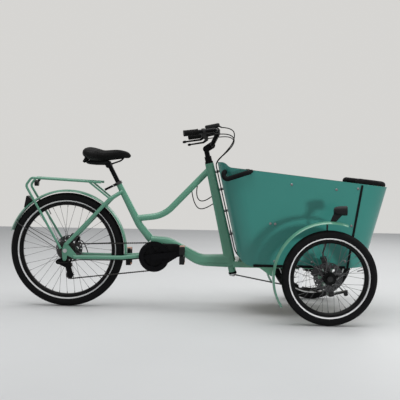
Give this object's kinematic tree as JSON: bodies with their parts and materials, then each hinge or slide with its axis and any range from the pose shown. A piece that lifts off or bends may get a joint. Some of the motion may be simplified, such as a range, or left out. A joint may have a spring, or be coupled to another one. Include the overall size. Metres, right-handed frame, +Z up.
{
  "type": "cargo tricycle",
  "caption": "Cargo tricycle with steered front wheels either side of a plywood load box, mid motor, roller chain drive and a rear rack",
  "frame": {"origin": "on the ground, midway along the length and between the sides", "axes": "+X forward, +Y to the rider's left, +Z up"},
  "size_m": [2.1966, 0.9526, 1.0894],
  "materials": {
    "mint_paint": "gloss powder coat",
    "box_paint": "gloss painted plywood",
    "black_paint": "satin black coat",
    "steel": "bare machined steel",
    "alloy": "silver alloy",
    "black_alloy": "black anodised",
    "tyre": "black rubber",
    "rubber": "matt rubber",
    "plastic": "fine-grained black",
    "foam": "black padded cover",
    "leather": "black saddle cover",
    "ply": "lacquered plywood",
    "lamp": "gloss black with clear lens",
    "red_lens": "red lens in black",
    "cable": "black outer"
  },
  "bodies": {
    "frame": {"head_column": "mint_paint", "top_tube": "mint_paint", "seat_tube": "mint_paint", "main_beam": "mint_paint", "chain_stays": "mint_paint", "seat_stays": "mint_paint", "motor": "plastic", "headset": "black_alloy", "rear_rack": "mint_paint", "rear_fender": "mint_paint", "rear_lights": "red_lens", "rear_axle": "steel", "rear_caliper": "black_alloy", "derailleur": "black_alloy", "chain": "steel", "box_side_right": "box_paint", "box_side_left": "box_paint", "box_front": "box_paint", "box_rear": "box_paint", "box_floor": "ply", "box_edging": "plastic", "box_bolts": "steel", "bench_board": "ply", "bench_cushion": "foam", "front_roll": "foam", "grab_handles": "foam", "battery": "plastic", "front_axle": "mint_paint", "floor_bearers": "mint_paint", "frame_cables": "cable", "flex_cables": "cable"},
    "steering": {"steering_shaft": "steel", "stem": "black_alloy", "handlebar": "black_alloy", "grips": "rubber", "bar_controls": "plastic"},
    "lever_right": {"brake_lever_right": "black_alloy"},
    "lever_left": {"brake_lever_left": "black_alloy"},
    "drag": {"drag_link": "black_paint"},
    "tie": {"tie_rod": "black_paint"},
    "knuckle_r": {"knuckle_right": "black_paint", "front_fender_right": "mint_paint", "headlight_right": "lamp"},
    "knuckle_l": {"knuckle_left": "black_paint", "front_fender_left": "mint_paint", "headlight_left": "lamp"},
    "wheel_r": {"front_wheel_right": "alloy", "front_tyre_right": "tyre"},
    "wheel_l": {"front_wheel_left": "alloy", "front_tyre_left": "tyre"},
    "wheel_rear": {"rear_wheel": "alloy", "rear_tyre": "tyre"},
    "cogs": {"cassette": "steel"},
    "crank": {"crankset": "black_alloy", "chainring": "black_alloy"},
    "foot_r": {"pedal_right": "plastic"},
    "foot_l": {"pedal_left": "plastic"},
    "seat": {"seatpost": "black_alloy", "saddle": "leather"},
    "release": {"quick_release": "black_alloy"}
  },
  "joints": [
    {"name": "handlebar_steer", "type": "hinge", "parent": "frame", "child": "steering", "pos_m": [0.20576, 0, 0.3], "axis": [-0.225, 0, 0.9744], "range_deg": [-22, 22], "deforming": ["flex_cables"]},
    {"name": "brake_lever_right_pull", "type": "hinge", "parent": "steering", "child": "lever_right", "pos_m": [0.05159, -0.26881, 1.00844], "axis": [-0.2664, 0.9639, 0], "range_deg": [0, 10], "stiffness_Nm_per_rad": 1.2},
    {"name": "brake_lever_left_pull", "type": "hinge", "parent": "steering", "child": "lever_left", "pos_m": [0.05159, 0.26881, 1.00844], "axis": [0.2664, 0.9639, 0], "range_deg": [0, 10], "stiffness_Nm_per_rad": 1.2},
    {"name": "knuckle_right_steer", "type": "hinge", "parent": "frame", "child": "knuckle_r", "pos_m": [0.73676, -0.344, 0.257], "axis": [-0.225, 0, 0.9744], "range_deg": [-22, 22], "deforming": ["flex_cables"]},
    {"name": "knuckle_left_steer", "type": "hinge", "parent": "frame", "child": "knuckle_l", "pos_m": [0.73676, 0.344, 0.257], "axis": [-0.225, 0, 0.9744], "range_deg": [-22, 22], "deforming": ["flex_cables"]},
    {"name": "drag_link_swing", "type": "hinge", "parent": "steering", "child": "drag", "pos_m": [0.22833, 0.09, 0.20227], "axis": [-0.225, 0, 0.9744], "range_deg": [-22, 22]},
    {"name": "tie_rod_swing", "type": "hinge", "parent": "knuckle_r", "child": "tie", "pos_m": [0.8393, -0.344, 0.1685], "axis": [-0.225, 0, 0.9744], "range_deg": [-22, 22]},
    {"name": "front_right_wheel_spin", "type": "hinge", "parent": "knuckle_r", "child": "wheel_r", "pos_m": [0.73676, -0.43, 0.257], "axis": [0, 1, 0], "continuous": true},
    {"name": "front_left_wheel_spin", "type": "hinge", "parent": "knuckle_l", "child": "wheel_l", "pos_m": [0.73676, 0.43, 0.257], "axis": [0, 1, 0], "continuous": true},
    {"name": "rear_wheel_spin", "type": "hinge", "parent": "frame", "child": "wheel_rear", "pos_m": [-0.76024, 0, 0.3375], "axis": [0, 1, 0], "continuous": true},
    {"name": "crank_spin", "type": "hinge", "parent": "frame", "child": "crank", "pos_m": [-0.23824, 0, 0.31], "axis": [0, 1, 0], "continuous": true, "deforming": ["chain"]},
    {"name": "cassette_spin", "type": "hinge", "parent": "frame", "child": "cogs", "pos_m": [-0.76024, 0, 0.3375], "axis": [0, 1, 0], "continuous": true, "deforming": ["chain"]},
    {"name": "pedal_right_spin", "type": "hinge", "parent": "crank", "child": "foot_r", "pos_m": [-0.0695, 0, 0.33072], "axis": [0, 1, 0], "continuous": true},
    {"name": "pedal_left_spin", "type": "hinge", "parent": "crank", "child": "foot_l", "pos_m": [-0.40697, 0, 0.28928], "axis": [0, 1, 0], "continuous": true},
    {"name": "seatpost_slide", "type": "slide", "parent": "frame", "child": "seat", "axis": [-0.4586, 0, 0.8887], "range_m": [-0.06, 0.06]},
    {"name": "quick_release_flip", "type": "hinge", "parent": "frame", "child": "release", "pos_m": [-0.48289, -0.0213, 0.7243], "axis": [-0.4586, 0, 0.8887], "range_deg": [0, 140]}
  ],
  "couplings": [
    {"joint": "knuckle_right_steer", "follows": "handlebar_steer", "ratio": 1},
    {"joint": "knuckle_left_steer", "follows": "handlebar_steer", "ratio": 1},
    {"joint": "drag_link_swing", "follows": "handlebar_steer", "ratio": -1},
    {"joint": "tie_rod_swing", "follows": "handlebar_steer", "ratio": -1},
    {"joint": "cassette_spin", "follows": "crank_spin", "ratio": 2.2222}
  ]
}
